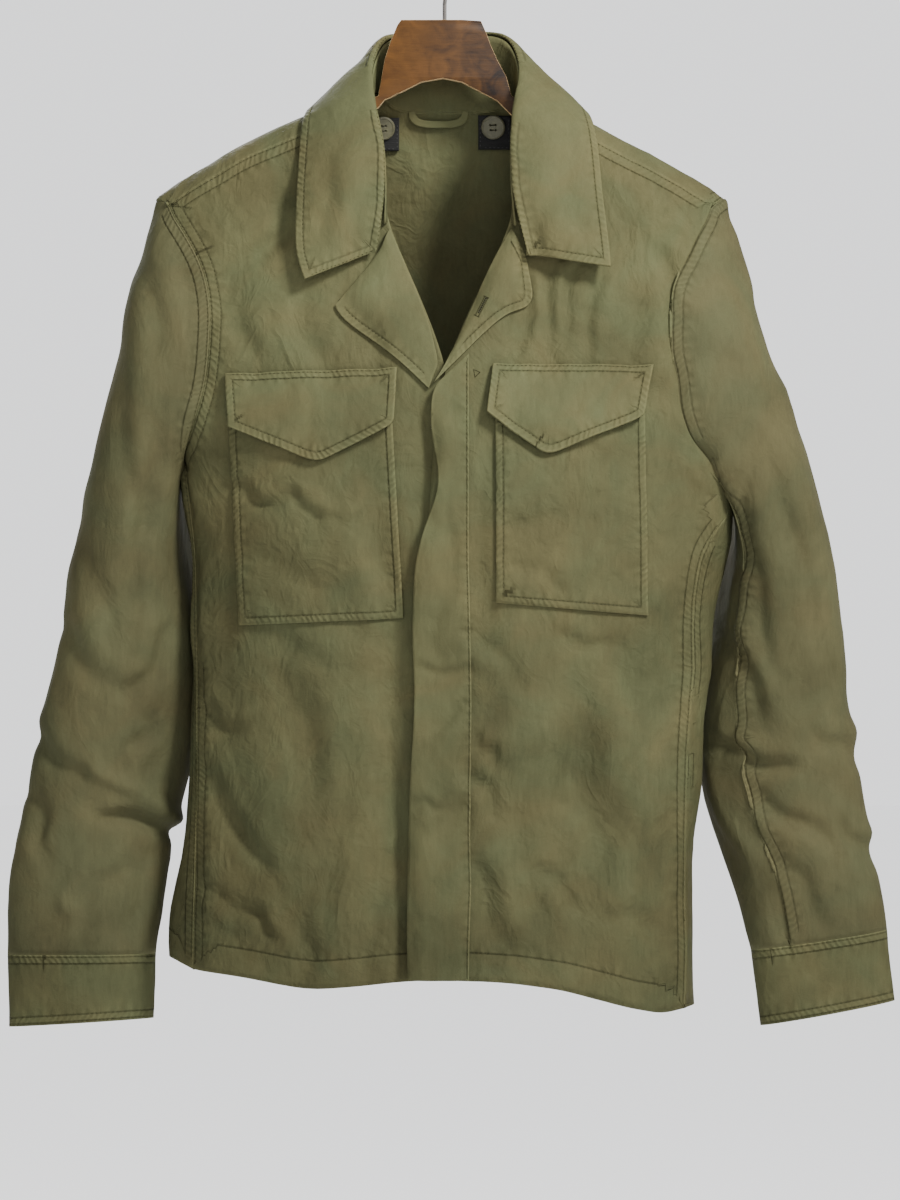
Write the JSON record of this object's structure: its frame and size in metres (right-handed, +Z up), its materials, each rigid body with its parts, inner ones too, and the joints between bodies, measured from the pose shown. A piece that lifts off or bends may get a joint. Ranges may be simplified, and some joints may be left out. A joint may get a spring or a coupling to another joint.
{
  "type": "shirt jacket on a clothes hanger",
  "caption": "Unlined cotton shirt jacket with a notch collar, hidden button fly, flapped chest patch pockets and cuffed sleeves, hanging on a wooden hanger with a wire hook",
  "frame": {"origin": "inside top of the hanger's hook, where a rail carries it", "axes": "+X is the wearer's left, -Y is the front of the jacket, +Z is up"},
  "size_m": [0.705, 0.1617, 0.8721],
  "materials": {
    "olive_cotton": "washed olive cotton sateen, matte",
    "black_tape": "black woven tape",
    "button_resin": "olive grey resin, semi-matte",
    "varnished_wood": "brown varnish",
    "dark_steel": "darkened steel wire"
  },
  "bodies": {
    "root": {"back": "olive_cotton", "front_right": "olive_cotton", "front_left": "olive_cotton", "fly_placket": "olive_cotton", "lapel_right": "olive_cotton", "lapel_left": "olive_cotton", "collar_stand": "olive_cotton", "collar_leaf": "olive_cotton", "sleeve_right_top": "olive_cotton", "sleeve_right_under": "olive_cotton", "sleeve_left_top": "olive_cotton", "sleeve_left_under": "olive_cotton", "cuff_right": "olive_cotton", "cuff_left": "olive_cotton", "pocket_right": "olive_cotton", "pocket_left": "olive_cotton", "flap_right": "olive_cotton", "flap_left": "olive_cotton", "hanger_loop": "olive_cotton", "neck_tab_right": "black_tape", "neck_tab_left": "black_tape", "neck_button_right": "button_resin", "neck_button_left": "button_resin", "fly_button_1": "button_resin", "fly_button_2": "button_resin", "fly_button_3": "button_resin", "fly_button_4": "button_resin", "hanger": "varnished_wood", "hook": "dark_steel"}
  },
  "joints": []
}
